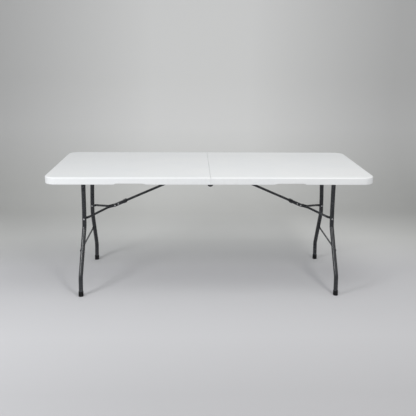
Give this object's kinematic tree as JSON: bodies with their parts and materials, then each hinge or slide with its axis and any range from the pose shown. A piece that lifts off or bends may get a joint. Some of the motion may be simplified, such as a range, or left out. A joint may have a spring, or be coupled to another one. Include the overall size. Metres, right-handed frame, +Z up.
{
  "type": "folding table",
  "caption": "Long white moulded table that folds in half, on two pairs of folding grey steel legs with over-centre braces and sliding lock rings.",
  "frame": {"origin": "on the floor under the middle of the open table", "axes": "+X along the table to its right end, +Y to the rear long side, +Z up"},
  "size_m": [1.829, 0.762, 0.737],
  "materials": {
    "panel_plastic": "fine grained white polyethylene, satin",
    "leg_paint": "dark grey powder coat with a soft gloss",
    "bracket_paint": "near black powder coat, satin",
    "foot_cap_rubber": "black, matt",
    "bright_steel": "zinc plated, satin"
  },
  "bodies": {
    "left_half": {"front_hinge_pin": "bright_steel", "front_hinge_spacer": "bracket_paint", "left_front_hinge_leaf": "bracket_paint", "left_front_rail": "bracket_paint", "left_front_saddle": "bracket_paint", "left_rear_hinge_leaf": "bracket_paint", "left_rear_rail": "bracket_paint", "left_rear_saddle": "bracket_paint", "left_strut_bracket": "bracket_paint", "left_strut_pin": "bright_steel", "left_top_panel": "panel_plastic", "rear_hinge_pin": "bright_steel", "rear_hinge_spacer": "bracket_paint"},
    "right_half": {"right_front_hinge_leaf": "bracket_paint", "right_front_rail": "bracket_paint", "right_front_saddle": "bracket_paint", "right_rear_hinge_leaf": "bracket_paint", "right_rear_rail": "bracket_paint", "right_rear_saddle": "bracket_paint", "right_strut_bracket": "bracket_paint", "right_strut_pin": "bright_steel", "right_top_panel": "panel_plastic"},
    "left_legs": {"left_front_foot_cap": "foot_cap_rubber", "left_front_leg": "leg_paint", "left_front_leg_rivet": "bright_steel", "left_leg_crossbar": "leg_paint", "left_pivot_tube": "leg_paint", "left_rear_foot_cap": "foot_cap_rubber", "left_rear_leg": "leg_paint", "left_rear_leg_rivet": "bright_steel"},
    "right_legs": {"right_front_foot_cap": "foot_cap_rubber", "right_front_leg": "leg_paint", "right_front_leg_rivet": "bright_steel", "right_leg_crossbar": "leg_paint", "right_pivot_tube": "leg_paint", "right_rear_foot_cap": "foot_cap_rubber", "right_rear_leg": "leg_paint", "right_rear_leg_rivet": "bright_steel"},
    "left_strut": {"left_knuckle_channel": "leg_paint", "left_knuckle_pin": "bright_steel", "left_lower_channel_rivet": "bright_steel", "left_strut_tube": "leg_paint", "left_upper_channel_rivet": "bright_steel"},
    "right_strut": {"right_knuckle_channel": "leg_paint", "right_knuckle_pin": "bright_steel", "right_lower_channel_rivet": "bright_steel", "right_strut_tube": "leg_paint", "right_upper_channel_rivet": "bright_steel"},
    "left_brace": {"left_front_brace_arm": "leg_paint", "left_front_brace_rivet": "bright_steel", "left_rear_brace_arm": "leg_paint", "left_rear_brace_rivet": "bright_steel"},
    "right_brace": {"right_front_brace_arm": "leg_paint", "right_front_brace_rivet": "bright_steel", "right_rear_brace_arm": "leg_paint", "right_rear_brace_rivet": "bright_steel"},
    "left_ring": {"left_lock_ring": "leg_paint"},
    "right_ring": {"right_lock_ring": "leg_paint"}
  },
  "joints": [
    {"name": "centre_fold", "type": "hinge", "parent": "left_half", "child": "right_half", "pos_m": [0, 0, 0.6967], "axis": [0, 1, 0], "range_deg": [0, 90]},
    {"name": "left_leg_fold", "type": "hinge", "parent": "left_half", "child": "left_legs", "pos_m": [-0.735, 0, 0.7121], "axis": [0, -1, 0], "range_deg": [0, 91.82]},
    {"name": "left_strut_swing", "type": "hinge", "parent": "left_half", "child": "left_strut", "pos_m": [-0.0265, 0, 0.7155], "axis": [0, 1, 0], "range_deg": [0, 23.55]},
    {"name": "left_knuckle_swing", "type": "hinge", "parent": "left_strut", "child": "left_brace", "pos_m": [-0.57638, 0, 0.47536], "axis": [0, -1, 0], "range_deg": [0, 187.53]},
    {"name": "left_lock_ring_slide", "type": "slide", "parent": "left_strut", "child": "left_ring", "axis": [0.9164, 0, 0.4002], "range_m": [-0.066, 0]},
    {"name": "right_leg_fold", "type": "hinge", "parent": "right_half", "child": "right_legs", "pos_m": [0.735, 0, 0.7121], "axis": [0, 1, 0], "range_deg": [0, 91.82]},
    {"name": "right_strut_swing", "type": "hinge", "parent": "right_half", "child": "right_strut", "pos_m": [0.0265, 0, 0.7155], "axis": [0, -1, 0], "range_deg": [0, 23.55]},
    {"name": "right_knuckle_swing", "type": "hinge", "parent": "right_strut", "child": "right_brace", "pos_m": [0.57638, 0, 0.47536], "axis": [0, 1, 0], "range_deg": [0, 187.53]},
    {"name": "right_lock_ring_slide", "type": "slide", "parent": "right_strut", "child": "right_ring", "axis": [-0.9164, 0, 0.4002], "range_m": [-0.066, 0]}
  ],
  "couplings": [
    {"joint": "left_strut_swing", "follows": "left_leg_fold", "ratio": 0.25641},
    {"joint": "left_knuckle_swing", "follows": "left_leg_fold", "ratio": 2.0423},
    {"joint": "right_strut_swing", "follows": "right_leg_fold", "ratio": 0.25641},
    {"joint": "right_knuckle_swing", "follows": "right_leg_fold", "ratio": 2.0423}
  ]
}
